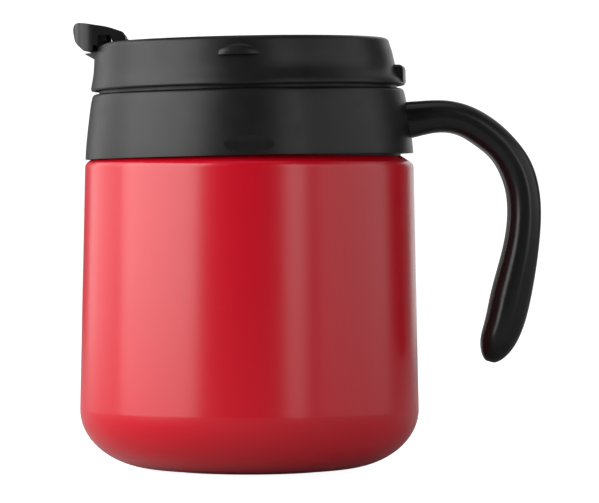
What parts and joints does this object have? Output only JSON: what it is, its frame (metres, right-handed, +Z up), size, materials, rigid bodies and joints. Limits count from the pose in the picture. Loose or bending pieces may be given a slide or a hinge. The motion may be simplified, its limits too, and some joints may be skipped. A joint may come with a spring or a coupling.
{
  "type": "insulated travel mug",
  "caption": "Double-wall steel travel mug with plastic collar, open-ended side handle, and press-in lid with a flip-up drinking flap.",
  "frame": {"origin": "centre of the base pad's underside, where the mug stands", "axes": "+Z up along the steel cup's axis, +X towards the handle, -X towards the drinking flap, Y across the mug"},
  "size_m": [0.1185, 0.086, 0.1128],
  "materials": {
    "red_paint": "satin",
    "steel": "brushed",
    "solder": "dull",
    "foil": "bright",
    "pad_rubber": "matte",
    "dark_silicone": "matte",
    "clear_silicone": "satin",
    "satin_plastic": "satin",
    "inner_plastic": "satin",
    "handle_plastic": "gloss",
    "grip_plastic": "satin",
    "flap_plastic": "satin",
    "foam": "matte",
    "screw_steel": "plain",
    "pin_steel": "plain"
  },
  "bodies": {
    "cup": {"outer_shell": "red_paint", "inner_liner": "steel", "shell_base": "steel", "vacuum_seal": "solder", "getter_disc": "steel", "heat_foil": "foil", "base_pad": "pad_rubber", "neck_gasket": "dark_silicone", "rim_gasket": "dark_silicone", "collar": "satin_plastic", "handle_frame": "handle_plastic", "handle_spine": "grip_plastic", "handle_screws": "screw_steel"},
    "lid": {"lid_shell": "satin_plastic", "lid_base": "inner_plastic", "lid_foam": "foam", "lid_seal": "clear_silicone", "flap_pin": "pin_steel"},
    "drinking_flap": {"flap": "flap_plastic", "flap_seal": "dark_silicone"}
  },
  "joints": [
    {"name": "lid_lift", "type": "slide", "parent": "cup", "child": "lid", "axis": [-0.0209, 0, 0.9998], "range_m": [0, 0.045]},
    {"name": "flap_hinge", "type": "hinge", "parent": "lid", "child": "drinking_flap", "pos_m": [-0.03293, 0, 0.10902], "axis": [0, 1, 0], "range_deg": [0, 105]}
  ]
}
